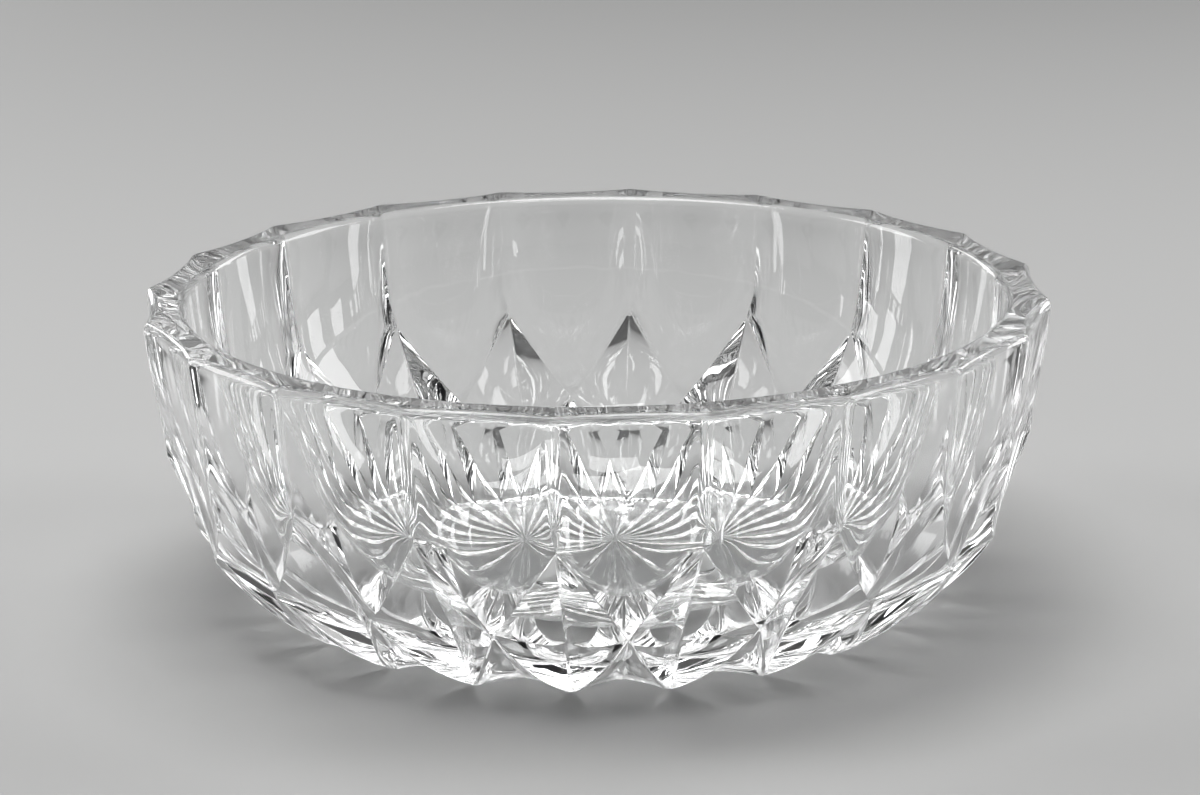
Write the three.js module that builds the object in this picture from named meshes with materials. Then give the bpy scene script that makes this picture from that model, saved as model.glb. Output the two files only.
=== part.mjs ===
// A round bowl made from one piece of clear lead crystal: upright hollow flutes under the rim,
// a belt of kite-shaped hollows below them, arched foot panels, and a star of hollow rays under
// the base. The inside is plain and smooth.
// Millimetres, +Z up. The bowl stands on z = 0, round the Z axis, with a ridge on the +X side.
import * as THREE from 'three';
import { mergeVertices } from 'three/addons/utils/BufferGeometryUtils.js';

// Driving dimensions of the outside
const panelCount = 20; // flutes, kites, foot panels and star rays
const bowlHeight = 80;
const rimRadius = 116; // where the ridges between the flutes would meet the rim if it weren't rounded
const fluteDepth = 1; // at the rim, below the chord between two ridges
const fluteSag = 2.2; // hollow of a flute's middle line, deepest in its lower half
const fluteCurve = 2.5; // power of a flute's cross-section, which bends most beside the ridges
const fluteTightening = 2.5; // growth of that bend down to a flute's lower end, as a share
const ridgeBow = 0.6; // swell of a ridge between the rim and the kite under it
const rimDrop = 2.5; // height of the rounding on the rim's outer edge
const rimRidgeInset = 1.6; // width of that rounding on a ridge
const rimFluteInset = 3; // width of that rounding in the middle of a flute
const kiteTopInset = 5.1; // top corner of a kite, inside the rim radius
const kiteTopHeight = 45.8;
const kiteSideInset = 12.8; // side corners of a kite, where two kites and a flute meet
const kiteSideHeight = 21.6;
const kiteHollow = 1.2; // sag of the fold down the middle of a kite
const footInset = 37.5; // foot points, inside the rim radius
const footBow = 2.3; // swell of the edges that run down to the foot points
const archInset = 4; // middle of an arch between two foot points, inside the foot points
const archRise = 1.8; // the same place, above the table

// Driving dimensions of the base and the inside
const landLength = 8; // flat ground land behind each foot point
const landWidth = 3.5;
const starRise = 2; // centre of the star above the table
const insideInset = 12; // inside wall at the rim, inside the rim radius
const insideEdgeRadius = 2; // rounding of the rim's inner edge
const floorHeight = 9.5;
const cornerWidth = 44; // the round sweep from the flat floor up to the rim, seen from above

// Number of facets along each part of one half panel
const fluteColumns = 5;
const ridgeRows = 4;
const kiteRows = 4;
const footRows = 4;
const archColumns = 3;
const edgeRows = 3;
const cornerRows = 10;
const insideColumns = 2;

// Sizes worked out from the driving dimensions
const halfPitch = Math.PI / panelCount;
const rimFluteRadius = rimRadius * Math.cos(halfPitch) - fluteDepth;
const insideRadius = rimRadius - insideInset;
const kiteTopRadius = rimRadius - kiteTopInset;
const kiteSideRadius = rimRadius - kiteSideInset;
const footRadius = rimRadius - footInset;
const upAxis = new THREE.Vector3(0, 0, 1);

// One half panel lies between a ridge, at angle 0, and the middle of a flute, at halfPitch.
function polar(radius, angle, height) {
  return new THREE.Vector3(radius * Math.cos(angle), radius * Math.sin(angle), height);
}

function steps(count) {
  return Array.from({ length: count + 1 }, (_, index) => index / count);
}

function bow(share) {
  return 4 * share * (1 - share);
}

// Radius of a ridge, from its kite up to the rim
function ridgeRadius(height) {
  const share = (height - kiteTopHeight) / (bowlHeight - kiteTopHeight);
  return THREE.MathUtils.lerp(kiteTopRadius, rimRadius, share) + ridgeBow * bow(share);
}

// Radius of a flute's middle line, from the kites' side corners up to the rim
function fluteRadius(height) {
  const share = (height - kiteSideHeight) / (bowlHeight - kiteSideHeight);
  const sag = fluteSag * bow(share) * (1 - share);
  return THREE.MathUtils.lerp(kiteSideRadius, rimFluteRadius, share) - sag;
}

// Cross-section of half a flute. Below the kites' tops the kites cut its sides away, down to a point.
function fluteRow(height) {
  const ridgeHeight = Math.max(height, kiteTopHeight);
  const ridge = ridgeRadius(ridgeHeight);
  const halfWidth = ridge * Math.sin(halfPitch);
  const kept = Math.min(1, (height - kiteSideHeight) / (kiteTopHeight - kiteSideHeight));
  const tightening = 1 + fluteTightening * (1 - kept);
  const depth = (ridge * Math.cos(halfPitch) - fluteRadius(ridgeHeight)) * tightening;
  return steps(fluteColumns).map((share) => {
    const across = kept * (1 - share);
    const out = fluteRadius(height) + depth * across ** fluteCurve;
    return new THREE.Vector3(out, -across * halfWidth, height).applyAxisAngle(upAxis, halfPitch);
  });
}

// Fold down the middle of a kite, from its top to the foot point
function kiteFold(share) {
  const radius = THREE.MathUtils.lerp(kiteTopRadius, footRadius, share) - kiteHollow * bow(share);
  return polar(radius, 0, kiteTopHeight * (1 - share));
}

const kiteSide = polar(kiteSideRadius, halfPitch, kiteSideHeight);
const foot = polar(footRadius, 0, 0);
const archTop = polar(footRadius - archInset, halfPitch, archRise);

// Edge from a kite's side corner down to the foot point, swelling outwards and down
function footEdge(share) {
  const fall = new THREE.Vector2(footRadius - kiteSideRadius, -kiteSideHeight).normalize();
  const swell = footBow * bow(share);
  const point = kiteSide.clone().lerp(foot, share);
  const angle = Math.atan2(point.y, point.x);
  return point.add(polar(-fall.y * swell, angle, fall.x * swell));
}

// Bottom edge of half a foot panel: the flat land, then half an arch
const landShare = landWidth / 2 / Math.hypot(foot.x - archTop.x, foot.y - archTop.y);
const archShares = steps(archColumns).map((share) => landShare + (1 - landShare) * share);

function archPoint(share) {
  const point = foot.clone().lerp(archTop, share);
  const climb = (share - landShare) / (1 - landShare);
  point.z = archRise * (1 - (1 - climb) ** 2);
  return point;
}

const archRow = [foot, ...archShares.map(archPoint)];

// Row of a foot panel, from the kite's side corner (0) to the bottom edge (1)
function footRow(share) {
  const edge = footEdge(share);
  const middle = kiteSide.clone().lerp(archTop, share);
  return [0, ...archShares].map((across, index) => {
    const straight = foot.clone().lerp(archTop, across);
    const lift = archRow[index].clone().sub(straight).multiplyScalar(share);
    return edge.clone().lerp(middle, across).add(lift);
  });
}

// Triangles between two rows of points that may differ in number
function stitch(triangles, upper, lower) {
  let left = 0;
  let right = 0;
  while (left < upper.length - 1 || right < lower.length - 1) {
    const upperNext = (left + 1) / (upper.length - 1);
    const lowerNext = (right + 1) / (lower.length - 1);
    const lowerDone = right === lower.length - 1;
    if (lowerDone || (left < upper.length - 1 && upperNext < lowerNext)) {
      triangles.push([upper[left], lower[right], upper[left + 1]]);
      left += 1;
    } else {
      triangles.push([upper[left], lower[right], lower[right + 1]]);
      right += 1;
    }
  }
}

function patch(triangles, rows) {
  for (let index = 1; index < rows.length; index += 1) {
    stitch(triangles, rows[index - 1], rows[index]);
  }
}

// Flutes, kites and foot panels, from the rim down
function outsidePatches(triangles) {
  const rimFoot = bowlHeight - rimDrop;
  const upperRows = steps(ridgeRows).map((share) => {
    return fluteRow(THREE.MathUtils.lerp(rimFoot, kiteTopHeight, share));
  });
  const lowerRows = steps(kiteRows).map((share) => {
    return fluteRow(THREE.MathUtils.lerp(kiteTopHeight, kiteSideHeight, share));
  });
  lowerRows[kiteRows] = [kiteSide];
  const footPanelRows = steps(footRows).map(footRow);
  footPanelRows[0] = [kiteSide];
  patch(triangles, upperRows);
  patch(triangles, lowerRows);
  patch(triangles, footPanelRows);

  const sideShare = 1 - kiteSideHeight / kiteTopHeight;
  const kiteUpper = lowerRows.map((row, index) => [kiteFold((sideShare * index) / kiteRows), row[0]]);
  const kiteLower = footPanelRows.map((row, index) => {
    return [kiteFold(THREE.MathUtils.lerp(sideShare, 1, index / footRows)), row[0]];
  });
  kiteUpper[0] = [lowerRows[0][0]];
  kiteLower[footRows] = [foot];
  patch(triangles, kiteUpper);
  patch(triangles, kiteLower);
}

// Flat land and star ray, from the bottom edge to the centre of the star
function undersidePatches(triangles) {
  const centre = new THREE.Vector3(0, 0, starRise);
  const landEnd = polar(footRadius - landLength, 0, 0);
  const rayEdge = archRow.slice(1);
  const rayInner = rayEdge.map((point) => point.clone().lerp(centre, landLength / footRadius));
  rayInner[0] = landEnd;
  patch(triangles, [[foot, archRow[1]], [landEnd]]);
  patch(triangles, [rayEdge, rayInner, [centre]]);
}

// Smooth inside and the rounded rim, from the centre of the floor outwards and up
function insidePatches(triangles) {
  const floorRadius = insideRadius - cornerWidth;
  const wallTop = bowlHeight - insideEdgeRadius;
  const corner = steps(cornerRows).map((share) => {
    const angle = (share * Math.PI) / 2;
    const radius = floorRadius + cornerWidth * Math.sin(angle);
    return [radius, wallTop - (wallTop - floorHeight) * Math.cos(angle)];
  });
  const innerEdge = steps(edgeRows).map((share) => {
    const angle = (share * Math.PI) / 2;
    const radius = insideRadius + insideEdgeRadius * (1 - Math.cos(angle));
    return [radius, wallTop + insideEdgeRadius * Math.sin(angle)];
  });
  const insideRows = [...corner, ...innerEdge.slice(1)].map(([radius, height]) => {
    return steps(insideColumns).map((share) => polar(radius, share * halfPitch, height));
  });
  const outerEdge = steps(edgeRows).map((share) => {
    const angle = (share * Math.PI) / 2;
    return fluteRow(bowlHeight - rimDrop * (1 - Math.cos(angle))).map((point) => {
      const fromFlute = 1 - Math.atan2(point.y, point.x) / halfPitch;
      const width = THREE.MathUtils.lerp(rimFluteInset, rimRidgeInset, fromFlute ** 2);
      const keep = 1 - (width * (1 - Math.sin(angle))) / Math.hypot(point.x, point.y);
      return new THREE.Vector3(point.x * keep, point.y * keep, point.z);
    });
  });
  patch(triangles, [[new THREE.Vector3(0, 0, floorHeight)], ...insideRows, ...outerEdge]);
}

// The half panel and its mirror image, repeated round the axis, as one closed surface
function bowlGeometry() {
  const triangles = [];
  outsidePatches(triangles);
  undersidePatches(triangles);
  insidePatches(triangles);
  const positions = [];
  for (let panel = 0; panel < panelCount; panel += 1) {
    const angle = 2 * halfPitch * panel;
    for (const [first, second, third] of triangles) {
      const mirrored = [third, second, first].map((point) => new THREE.Vector3(point.x, -point.y, point.z));
      for (const point of [first, second, third, ...mirrored]) {
        positions.push(...point.clone().applyAxisAngle(upAxis, angle).toArray());
      }
    }
  }
  const geometry = new THREE.BufferGeometry();
  geometry.setAttribute('position', new THREE.Float32BufferAttribute(positions, 3));
  const mergeDistance = 0.001;
  return mergeVertices(geometry, mergeDistance);
}

const crystal = new THREE.MeshStandardMaterial({
  color: 0xf2f5f6,
  roughness: 0.03,
  metalness: 0,
  transparent: true,
  opacity: 0.35,
});

const bowl = new THREE.Mesh(bowlGeometry(), crystal);
bowl.name = 'bowl';

const cutCrystalBowl = new THREE.Group();
cutCrystalBowl.add(bowl);

export default cutCrystalBowl;
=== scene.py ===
# A round bowl of clear cut crystal on a pale studio floor.
# The bowl's lengths are in millimetres and become metres where its mesh is made.
# Lengths in the glass, the floor, the lamps and the camera are in metres.
import math

import bpy
import numpy as np
from mathutils import Matrix, Vector


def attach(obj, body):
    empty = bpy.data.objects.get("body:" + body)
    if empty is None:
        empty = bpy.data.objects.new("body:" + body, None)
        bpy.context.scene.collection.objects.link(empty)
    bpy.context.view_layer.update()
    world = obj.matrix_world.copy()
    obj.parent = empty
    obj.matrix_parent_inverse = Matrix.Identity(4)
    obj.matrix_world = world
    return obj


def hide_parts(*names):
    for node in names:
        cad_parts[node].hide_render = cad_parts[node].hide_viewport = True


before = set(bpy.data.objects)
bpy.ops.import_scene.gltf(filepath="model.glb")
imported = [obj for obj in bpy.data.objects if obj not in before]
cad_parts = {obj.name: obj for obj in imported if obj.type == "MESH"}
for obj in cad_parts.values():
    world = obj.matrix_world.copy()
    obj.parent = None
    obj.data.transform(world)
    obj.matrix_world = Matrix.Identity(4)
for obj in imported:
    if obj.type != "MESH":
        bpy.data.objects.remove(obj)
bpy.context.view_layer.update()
scene = bpy.context.scene

# Sizes of the bowl, as in the solid it stands for
PANELS = 20
HEIGHT = 80.0
RIM = 116.0
FLUTE_DEPTH = 1.0
FLUTE_SAG = 2.2
FLUTE_CURVE = 2.5
FLUTE_TIGHTENING = 2.5
RIDGE_BOW = 0.6
RIM_DROP = 2.5
RIM_INSET_RIDGE = 1.6
RIM_INSET_FLUTE = 3.0
KITE_TOP_RADIUS = 110.9
KITE_TOP_HEIGHT = 45.8
KITE_SIDE_RADIUS = 103.2
KITE_SIDE_HEIGHT = 21.6
KITE_HOLLOW = 1.2
FOOT = 78.5
FOOT_BOW = 2.3
ARCH_INSET = 4.0
ARCH_RISE = 1.8
LAND_LENGTH = 8.0
LAND_WIDTH = 3.5
STAR_RISE = 2.0
INSIDE = 104.0
INSIDE_EDGE = 2.0
INSIDE_FLOOR = 9.5
CORNER_WIDTH = 44.0
HALF = math.pi / PANELS

# Rounding of the ridges, and the narrow strips beside creases in which the shading turns
RIDGE_ROUND = 2.0
RIDGE_FADE = 6.0
CREASE = 0.5
FLUTE_CREASE_MOST = 0.1
KITE_CREASE_MOST = 0.2
FOOT_CREASE_MOST = 0.25

# Steps of the mesh
CREST_COLUMNS = 4
FLUTE_COLUMNS = 16
FLUTE_ROWS = 20
KITE_COLUMNS = 8
KITE_ROWS = 16
FOOT_ROWS = 14
ARCH_COLUMNS = 10
RAY_ROWS = 16
FLOOR_ROWS = 4
CORNER_ROWS = 36
RIM_ROWS = 6
WELD = 0.001
TINY = 1e-6
METRES = 0.001

# Glass
GLASS_COLOUR = (0.985, 0.99, 0.99, 1)
GLASS_IOR = 1.545
SCUFF_SCALE = 900.0
SCUFF_DETAIL = 3.0
SCUFF_ROUGHNESS = 0.35
SCUFF_FULL_HEIGHT = 0.0001
SCUFF_END_HEIGHT = 0.0006
WAVE_SCALE = 55.0
WAVE_DETAIL = 2.0
WAVE_STRENGTH = 0.25
WAVE_DISTANCE = 0.0004

# Floor and its sweep up behind the bowl
PAPER_COLOUR = (0.42, 0.42, 0.417, 1)
PAPER_ROUGHNESS = 0.85
PAPER_SIDE = 3.0
PAPER_FRONT = -2.5
SWEEP_START = 1.4
SWEEP_RADIUS = 0.6
SWEEP_STEPS = 12
PAPER_TOP = 0.9

# Soft studio light: the place, width, height and power of each lamp
SOFTBOXES = {
    "top": ((-0.1, 0.1, 1.05), 0.8, 0.5, 8.4),
    "front": ((0.1, -0.6, 1.75), 0.9, 0.5, 7),
    "left": ((-1.0, 0.1, 0.5), 0.35, 0.8, 4.8),
    "right": ((1.0, 0.25, 0.5), 0.35, 0.8, 4.8),
    "back_left": ((-0.65, 0.95, 0.4), 0.22, 0.7, 2.2),
    "back_right": ((0.75, 0.9, 0.4), 0.22, 0.7, 2.2),
}
LAMP_AIM = Vector((0, 0, 0.03))
WORLD_COLOUR = (0.012, 0.012, 0.013, 1)
MOST_BOUNCES = 24
GLOSSY_BOUNCES = 12

# Camera at the photograph's angle
AZIMUTH = math.radians(5.04)
ELEVATION = math.radians(15.84)
ROLL = math.radians(0.60)
CAMERA_AIM = Vector((0.00095, 0, 0.05224))
CAMERA_DISTANCE = 1.2213
CAMERA_LENS = 143.16
CAMERA_SENSOR = 36
CAMERA_CLIP = 0.01


def lerp(a, b, t):
    return a + (b - a) * t


def bow(t):
    """A hump that is 0 at both ends and 1 in the middle."""
    return 4 * t * (1 - t)


def polar(radius, angle, z):
    return np.array([radius * math.cos(angle), radius * math.sin(angle), z])


def steps(count, start=0.0, end=0.0):
    """Even steps from 0 to 1, with one extra close step at an end where a crease lies."""
    inner = np.linspace(start, 1 - end, count + 1 - (start > 0) - (end > 0))
    return np.concatenate([[0.0] if start > 0 else [], inner, [1.0] if end > 0 else []])


def crease_step(length, most):
    """The share of a length that the strip beside its crease takes."""
    return min(CREASE / length, most) if length > TINY else most


# Outside: flutes, kites and foot panels of one half panel, from a ridge to a flute's middle
def ridge(z):
    t = (z - KITE_TOP_HEIGHT) / (HEIGHT - KITE_TOP_HEIGHT)
    return lerp(KITE_TOP_RADIUS, RIM, t) + RIDGE_BOW * bow(t)


def valley(z):
    t = (z - KITE_SIDE_HEIGHT) / (HEIGHT - KITE_SIDE_HEIGHT)
    top = RIM * math.cos(HALF) - FLUTE_DEPTH
    return lerp(KITE_SIDE_RADIUS, top, t) - FLUTE_SAG * bow(t) * (1 - t)


def flute_row(z):
    """Half a flute at one height, from the rounded ridge or the kite's edge to its middle."""
    top = max(z, KITE_TOP_HEIGHT)
    half = ridge(top) * math.sin(HALF)
    kept = min(1.0, (z - KITE_SIDE_HEIGHT) / (KITE_TOP_HEIGHT - KITE_SIDE_HEIGHT))
    depth = (ridge(top) * math.cos(HALF) - valley(top)) * (1 + FLUTE_TIGHTENING * (1 - kept))
    round_share = RIDGE_ROUND * min(1.0, (top - KITE_TOP_HEIGHT) / RIDGE_FADE) / half
    first = max(round_share, crease_step(half * kept, FLUTE_CREASE_MOST))
    crest = first * steps(CREST_COLUMNS)[:-1]
    shares = np.concatenate([crest, lerp(first, 1.0, steps(FLUTE_COLUMNS))])
    across = kept * (1 - shares)
    out = valley(z) + depth * across ** FLUTE_CURVE
    side = -across * half
    c, s = math.cos(HALF), math.sin(HALF)
    x, y = out * c - side * s, out * s + side * c
    if round_share > 0:
        edge = np.searchsorted(shares, round_share - TINY)
        slope = depth * FLUTE_CURVE * across[edge] ** (FLUTE_CURVE - 1) / half
        lean = math.atan(slope) + HALF
        x[:edge] = x[edge] + math.tan(lean) / 2 * (y[edge] - y[:edge] ** 2 / y[edge])
    return np.stack([x, y, np.full_like(x, z)], -1)


kite_side = polar(KITE_SIDE_RADIUS, HALF, KITE_SIDE_HEIGHT)
foot = polar(FOOT, 0, 0)
arch_top = polar(FOOT - ARCH_INSET, HALF, ARCH_RISE)
land = LAND_WIDTH / 2 / np.linalg.norm((foot - arch_top)[:2])
arch_shares = np.concatenate([[0.0], land + (1 - land) * steps(ARCH_COLUMNS)])


def arch_point(share):
    climb = max(0.0, (share - land) / (1 - land))
    point = lerp(foot, arch_top, share)
    return np.array([point[0], point[1], ARCH_RISE * (1 - (1 - climb) ** 2)])


arch = np.array([arch_point(share) for share in arch_shares])


def kite_fold(t):
    radius = lerp(KITE_TOP_RADIUS, FOOT, t) - KITE_HOLLOW * bow(t)
    return polar(radius, 0, KITE_TOP_HEIGHT * (1 - t))


def foot_edge(t):
    fall = np.array([FOOT - KITE_SIDE_RADIUS, -KITE_SIDE_HEIGHT])
    fall /= np.linalg.norm(fall)
    point = lerp(kite_side, foot, t)
    swell = FOOT_BOW * bow(t)
    return point + polar(-fall[1] * swell, math.atan2(point[1], point[0]), fall[0] * swell)


def foot_row(t):
    straight = np.array([lerp(foot, arch_top, share) for share in arch_shares])
    ends = foot_edge(t), lerp(kite_side, arch_top, t)
    return np.array([lerp(*ends, share) for share in arch_shares]) + (arch - straight) * t


def outside_patches():
    upper_heights = lerp(HEIGHT - RIM_DROP, KITE_TOP_HEIGHT, steps(FLUTE_ROWS))
    lower_heights = lerp(KITE_TOP_HEIGHT, KITE_SIDE_HEIGHT, steps(KITE_ROWS))
    upper = [flute_row(z) for z in upper_heights]
    lower = [flute_row(z) for z in lower_heights]
    foot_close = crease_step(np.linalg.norm(kite_side - foot), FOOT_CREASE_MOST)
    foot_shares = steps(FOOT_ROWS, 0, foot_close)
    panel = [foot_row(t) for t in foot_shares]
    side = 1 - KITE_SIDE_HEIGHT / KITE_TOP_HEIGHT
    edges = [row[0] for row in lower] + [row[0] for row in panel[1:]]
    folds = list(side * steps(KITE_ROWS)) + list(lerp(side, 1.0, foot_shares[1:]))
    kite = []
    for edge, t in zip(edges, folds):
        fold = kite_fold(t)
        close = crease_step(np.linalg.norm(edge - fold), KITE_CREASE_MOST)
        columns = steps(KITE_COLUMNS, close, close)
        kite.append(np.array([lerp(fold, edge, share) for share in columns]))
    return [upper, lower, panel, kite]


# Base: a flat land behind each foot point, and hollow rays between sharp ridges
def base_patches():
    centre = np.array([0, 0, STAR_RISE])
    land_end = polar(FOOT - LAND_LENGTH, 0, 0)
    first = LAND_LENGTH / FOOT
    shares = [0.0, CREASE / FOOT] + list(lerp(first, 1.0, steps(RAY_ROWS)))
    lands, rays = [], []
    for share in shares:
        row = lerp(arch[1:], centre, share)
        if share <= first:
            row[0] = lerp(arch[1], land_end, share / first)
            lands.append(np.array([lerp(foot, land_end, share / first), row[0]]))
        else:
            row[0] = lerp(land_end, centre, (share - first) / (1 - first))
        rays.append(row)
    return [lands, rays]


# Inside: flat floor, wide round corner, and the rounded rim
def inside_patches():
    rim_row = flute_row(HEIGHT)
    angles = np.arctan2(rim_row[:, 1], rim_row[:, 0])
    angles[0], angles[-1] = 0.0, HALF
    floor_edge = INSIDE - CORNER_WIDTH
    wall_top = HEIGHT - INSIDE_EDGE
    rise = wall_top - INSIDE_FLOOR
    profile = [(floor_edge * t, INSIDE_FLOOR) for t in steps(FLOOR_ROWS)[:-1]]
    for t in steps(CORNER_ROWS) * math.pi / 2:
        profile.append((floor_edge + CORNER_WIDTH * math.sin(t), wall_top - rise * math.cos(t)))
    for t in steps(RIM_ROWS)[1:] * math.pi / 2:
        radius = INSIDE + INSIDE_EDGE * (1 - math.cos(t))
        profile.append((radius, wall_top + INSIDE_EDGE * math.sin(t)))
    rows = [np.array([polar(radius, angle, z) for angle in angles]) for radius, z in profile]
    inset = lerp(RIM_INSET_FLUTE, RIM_INSET_RIDGE, (1 - angles / HALF) ** 2)
    for t in steps(RIM_ROWS) * math.pi / 2:
        row = flute_row(HEIGHT - RIM_DROP * (1 - math.cos(t)))
        keep = 1 - inset * (1 - math.sin(t)) / np.hypot(row[:, 0], row[:, 1])
        rows.append(row * np.stack([keep, keep, np.ones_like(keep)], -1))
    return [rows]


def half_panel():
    """The points and four-sided faces of all patches of one half panel."""
    points, quads = [], []
    for rows in outside_patches() + base_patches() + inside_patches():
        base, columns = len(points), len(rows[0])
        points.extend(np.concatenate(rows))
        for i in range(len(rows) - 1):
            for j in range(columns - 1):
                corner = base + i * columns + j
                quads.append((corner, corner + columns, corner + columns + 1, corner + 1))
    return np.array(points), np.array(quads)


def bowl_mesh():
    """The half panel mirrored and repeated round the axis, with points that meet made one."""
    points, quads = half_panel()
    all_points, all_quads = [], []
    for k in range(PANELS):
        c, s = math.cos(2 * HALF * k), math.sin(2 * HALF * k)
        for mirror in (1, -1):
            x, y = points[:, 0], points[:, 1] * mirror
            all_quads.append(quads[:, ::mirror] + len(points) * len(all_points))
            all_points.append(np.stack([x * c - y * s, x * s + y * c, points[:, 2]], -1))
    joined = np.concatenate(all_points)
    keys = np.round(joined / WELD).astype(np.int64)
    _, first, index = np.unique(keys, axis=0, return_index=True, return_inverse=True)
    corners = index.reshape(-1)[np.concatenate(all_quads)].tolist()
    faces = [list(dict.fromkeys(quad)) for quad in corners]
    faces = [face for face in faces if len(face) > 2]
    mesh = bpy.data.meshes.new("bowl_glass")
    mesh.from_pydata((joined[first] * METRES).tolist(), [], faces)
    mesh.shade_smooth()
    mesh.validate()
    return mesh


def shaded(name, values):
    """A new material, and its shader with the given values on its sockets."""
    material = bpy.data.materials.new(name)
    material.use_nodes = True
    shader = material.node_tree.nodes["Principled BSDF"]
    for socket, value in values.items():
        shader.inputs[socket].default_value = value
    return material, shader


def add_node(tree, kind, values):
    made = tree.nodes.new(kind)
    for socket, value in values.items():
        made.inputs[socket].default_value = value
    return made


# Crystal: clear, polished, faintly uneven, and scuffed where it touches the table
def crystal_material():
    material, glass = shaded("crystal", {
        "Base Color": GLASS_COLOUR,
        "Transmission Weight": 1.0,
        "IOR": GLASS_IOR,
    })
    tree = material.node_tree
    link = tree.links.new
    place = tree.nodes.new("ShaderNodeTexCoord")
    split = tree.nodes.new("ShaderNodeSeparateXYZ")
    link(place.outputs["Object"], split.inputs[0])
    scuff = add_node(tree, "ShaderNodeTexNoise", {"Scale": SCUFF_SCALE, "Detail": SCUFF_DETAIL})
    link(place.outputs["Object"], scuff.inputs["Vector"])
    contact = add_node(tree, "ShaderNodeMapRange", {
        "From Min": SCUFF_FULL_HEIGHT,
        "From Max": SCUFF_END_HEIGHT,
        "To Min": SCUFF_ROUGHNESS,
        "To Max": 0.0,
    })
    link(split.outputs["Z"], contact.inputs["Value"])
    wear = tree.nodes.new("ShaderNodeMath")
    wear.operation = "MULTIPLY"
    link(scuff.outputs["Fac"], wear.inputs[0])
    link(contact.outputs["Result"], wear.inputs[1])
    link(wear.outputs[0], glass.inputs["Roughness"])
    wave = add_node(tree, "ShaderNodeTexNoise", {"Scale": WAVE_SCALE, "Detail": WAVE_DETAIL})
    link(place.outputs["Object"], wave.inputs["Vector"])
    bump = add_node(tree, "ShaderNodeBump", {"Strength": WAVE_STRENGTH, "Distance": WAVE_DISTANCE})
    link(wave.outputs["Fac"], bump.inputs["Height"])
    link(bump.outputs["Normal"], glass.inputs["Normal"])
    return material


def floor_mesh():
    profile = [(PAPER_FRONT, 0.0), (SWEEP_START, 0.0)]
    for angle in steps(SWEEP_STEPS)[1:] * math.pi / 2:
        y = SWEEP_START + SWEEP_RADIUS * math.sin(angle)
        profile.append((y, SWEEP_RADIUS * (1 - math.cos(angle))))
    profile.append((SWEEP_START + SWEEP_RADIUS, PAPER_TOP))
    points = [(x, y, z) for y, z in profile for x in (-PAPER_SIDE, PAPER_SIDE)]
    faces = [(2 * i, 2 * i + 1, 2 * i + 3, 2 * i + 2) for i in range(len(profile) - 1)]
    mesh = bpy.data.meshes.new("floor")
    mesh.from_pydata(points, [], faces)
    mesh.shade_smooth()
    return mesh


def softbox(name, place, width, height, power):
    lamp = bpy.data.lights.new(name, "AREA")
    lamp.shape = "RECTANGLE"
    lamp.size = width
    lamp.size_y = height
    lamp.energy = power
    holder = bpy.data.objects.new(name, lamp)
    holder.location = place
    holder.rotation_euler = (LAMP_AIM - Vector(place)).to_track_quat("-Z", "Y").to_euler()
    holder.visible_camera = False
    scene.collection.objects.link(holder)


def studio_camera():
    turn = Matrix.Rotation(AZIMUTH, 3, "Z")
    ahead = turn @ Vector((0, math.cos(ELEVATION), -math.sin(ELEVATION)))
    right = turn @ Vector((1, 0, 0))
    up = right.cross(ahead)
    across = right * math.cos(ROLL) - up * math.sin(ROLL)
    upright = right * math.sin(ROLL) + up * math.cos(ROLL)
    camera = bpy.data.objects.new("camera", bpy.data.cameras.new("camera"))
    camera.matrix_world = Matrix((across, upright, -ahead)).transposed().to_4x4()
    camera.location = turn @ CAMERA_AIM - ahead * CAMERA_DISTANCE
    camera.data.sensor_width = CAMERA_SENSOR
    camera.data.lens = CAMERA_LENS
    camera.data.clip_start = CAMERA_CLIP
    scene.collection.objects.link(camera)
    return camera


bowl = bpy.data.objects.new("bowl_glass", bowl_mesh())
scene.collection.objects.link(bowl)
bowl.data.materials.append(crystal_material())
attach(bowl, "root")
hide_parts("bowl")

floor = bpy.data.objects.new("floor", floor_mesh())
scene.collection.objects.link(floor)
paper, _ = shaded("paper", {"Base Color": PAPER_COLOUR, "Roughness": PAPER_ROUGHNESS})
floor.data.materials.append(paper)

for name, values in SOFTBOXES.items():
    softbox(name, *values)
world = bpy.data.worlds.new("studio")
world.use_nodes = True
world.node_tree.nodes["Background"].inputs["Color"].default_value = WORLD_COLOUR
scene.world = world

scene.camera = studio_camera()
scene.view_settings.view_transform = "Standard"
scene.cycles.max_bounces = MOST_BOUNCES
scene.cycles.transmission_bounces = MOST_BOUNCES
scene.cycles.glossy_bounces = GLOSSY_BOUNCES
